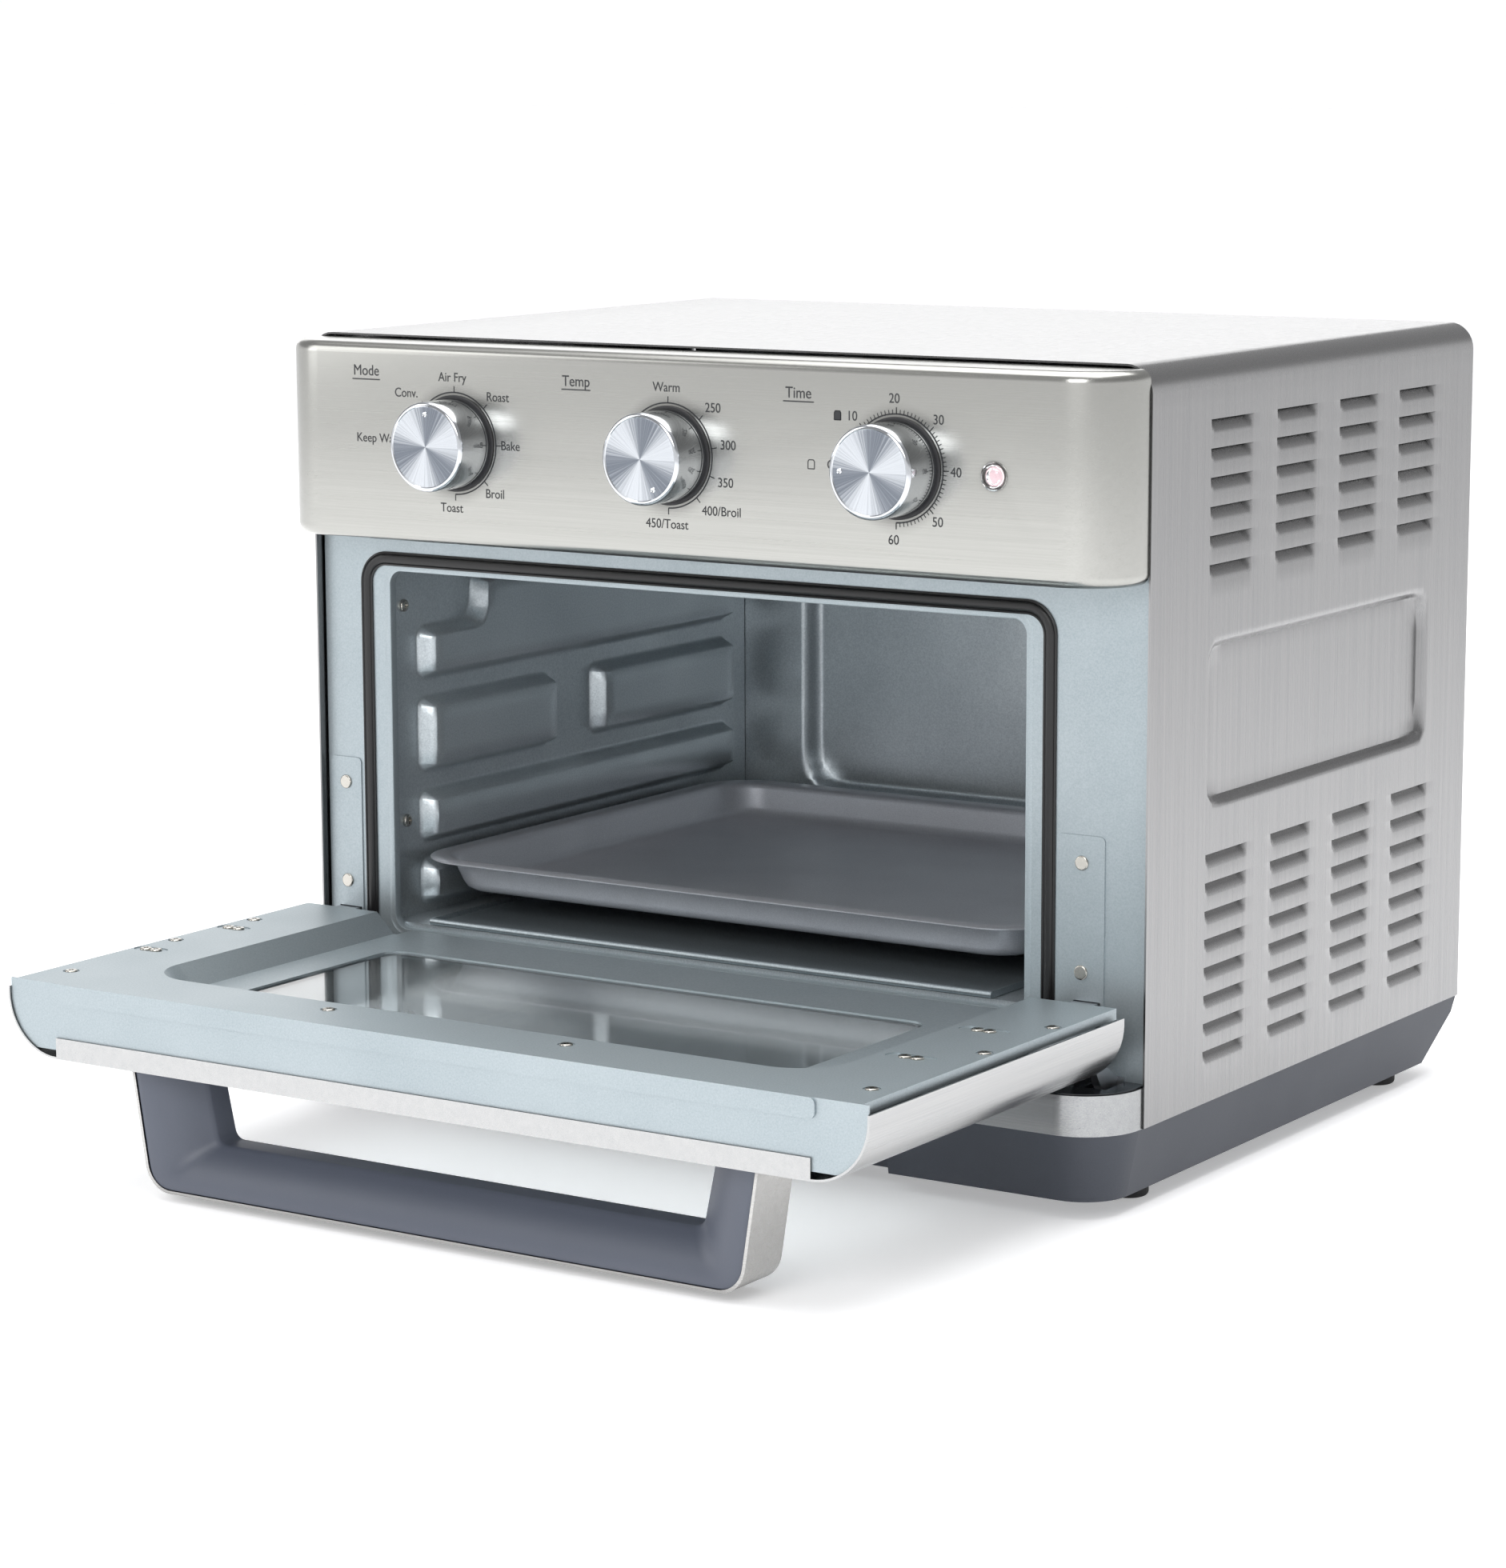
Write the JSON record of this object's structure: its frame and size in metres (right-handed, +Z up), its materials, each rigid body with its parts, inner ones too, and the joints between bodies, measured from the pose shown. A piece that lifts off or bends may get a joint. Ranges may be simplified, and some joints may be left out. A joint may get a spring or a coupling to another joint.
{
  "type": "toaster oven",
  "caption": "Countertop toaster oven with a drop-down glass door, rotary controls, brushed steel casing and a sliding baking pan.",
  "frame": {"origin": "middle of the footprint of the whole oven with its door open, on the table", "axes": "+X to the right seen from the front, +Y from the front to the rear, +Z up"},
  "size_m": [0.46, 0.581, 0.3755],
  "materials": {
    "wrap_steel": "brushed, fine vertical grain on the sides",
    "rear_steel": "plain galvanised sheet",
    "base_plastic": "fine matt moulding, slate grey",
    "foot_rubber": "soft matt",
    "fascia_steel": "brushed, horizontal grain",
    "inner_plastic": "moulded, plain",
    "trim_steel": "brushed, horizontal grain",
    "sill_plastic": "dark, polished",
    "frame_steel": "aluminised, satin with fine speckle",
    "fastener_steel": "nickel plated",
    "hinge_steel": "zinc plated sheet",
    "gasket_silicone": "satin black silicone",
    "cavity_steel": "aluminised, satin blue-grey speckle",
    "element_sheath": "oxidised dark sheath",
    "ceramic": "glazed off-white ceramic",
    "fan_aluminium": "pressed, bright",
    "motor_steel": "lacquered laminations and plated steel",
    "shaft_steel": "ground bright",
    "knob_metal": "spun face with polished bevel",
    "ring_plastic": "dark",
    "lens": "clear with a pink cast",
    "lamp_body": "neon lamp in a sleeve",
    "copper_bulb": "drawn copper",
    "terminal_plastic": "natural nylon",
    "door_steel": "brushed, grain along the door",
    "pane_glass": "tempered, clear with a grey cast",
    "handle_plastic": "slate grey, satin",
    "band_steel": "brushed lengthwise",
    "pan_metal": "silver-grey non-stick coating",
    "tray_metal": "aluminised sheet"
  },
  "bodies": {
    "oven": {"outer_wrap": "wrap_steel", "rear_panel": "rear_steel", "base_moulding": "base_plastic", "bottom_plate": "rear_steel", "rubber_feet": "foot_rubber", "control_panel": "fascia_steel", "panel_backing": "inner_plastic", "bottom_trim": "trim_steel", "trim_cap": "sill_plastic", "front_frame": "frame_steel", "hinge_cover_plates": "frame_steel", "hinge_rivets": "fastener_steel", "hinge_brackets": "hinge_steel", "door_gasket": "gasket_silicone", "cavity_left_wall": "cavity_steel", "cavity_right_wall": "cavity_steel", "cavity_back_wall": "cavity_steel", "cavity_roof": "cavity_steel", "cavity_floor": "cavity_steel", "cavity_screws": "fastener_steel", "upper_elements": "element_sheath", "lower_elements": "element_sheath", "element_holders": "ceramic", "fan_motor": "motor_steel", "mode_switch": "inner_plastic", "thermostat": "motor_steel", "timer": "inner_plastic", "timer_bell": "motor_steel", "dial_rings": "ring_plastic", "indicator_lens": "lens", "indicator_lamp": "lamp_body", "thermostat_bulb": "copper_bulb", "thermal_cutout": "motor_steel", "terminal_block": "terminal_plastic", "inlet_bush": "ring_plastic", "rear_spacers": "base_plastic", "casing_screws": "fastener_steel"},
    "door": {"door_outer_skin": "door_steel", "door_inner_liner": "frame_steel", "door_glass": "pane_glass", "glass_clips": "hinge_steel", "door_screws": "fastener_steel", "hinge_arms": "hinge_steel", "handle_strip": "handle_plastic", "handle_band": "band_steel", "handle_grip": "handle_plastic", "handle_screws": "fastener_steel"},
    "pan": {"baking_pan": "pan_metal"},
    "tray": {"crumb_tray": "tray_metal"},
    "mode_control": {"mode_knob": "knob_metal", "mode_shaft": "shaft_steel"},
    "temperature_control": {"temperature_knob": "knob_metal", "temperature_shaft": "shaft_steel"},
    "timer_control": {"timer_knob": "knob_metal", "timer_shaft": "shaft_steel"},
    "fan": {"convection_fan": "fan_aluminium"}
  },
  "joints": [
    {"name": "door_hinge", "type": "hinge", "parent": "oven", "child": "door", "pos_m": [0, -0.083, 0.072], "axis": [-1, 0, 0], "range_deg": [0, 90]},
    {"name": "pan_slide", "type": "slide", "parent": "oven", "child": "pan", "axis": [0, 1, 0], "range_m": [-0.228, 0]},
    {"name": "crumb_tray_slide", "type": "slide", "parent": "oven", "child": "tray", "axis": [0, 1, 0], "range_m": [-0.165, 0]},
    {"name": "mode_turn", "type": "hinge", "parent": "oven", "child": "mode_control", "pos_m": [-0.121, -0.1015, 0.3291], "axis": [0, 1, 0], "range_deg": [-90, 180]},
    {"name": "temperature_turn", "type": "hinge", "parent": "oven", "child": "temperature_control", "pos_m": [0, -0.1015, 0.3291], "axis": [0, 1, 0], "range_deg": [-242, 28]},
    {"name": "timer_turn", "type": "hinge", "parent": "oven", "child": "timer_control", "pos_m": [0.121, -0.1015, 0.3291], "axis": [0, 1, 0], "range_deg": [0, 270]},
    {"name": "fan_spin", "type": "hinge", "parent": "oven", "child": "fan", "pos_m": [0.18, 0.1085, 0.1795], "axis": [1, 0, 0], "continuous": true}
  ]
}
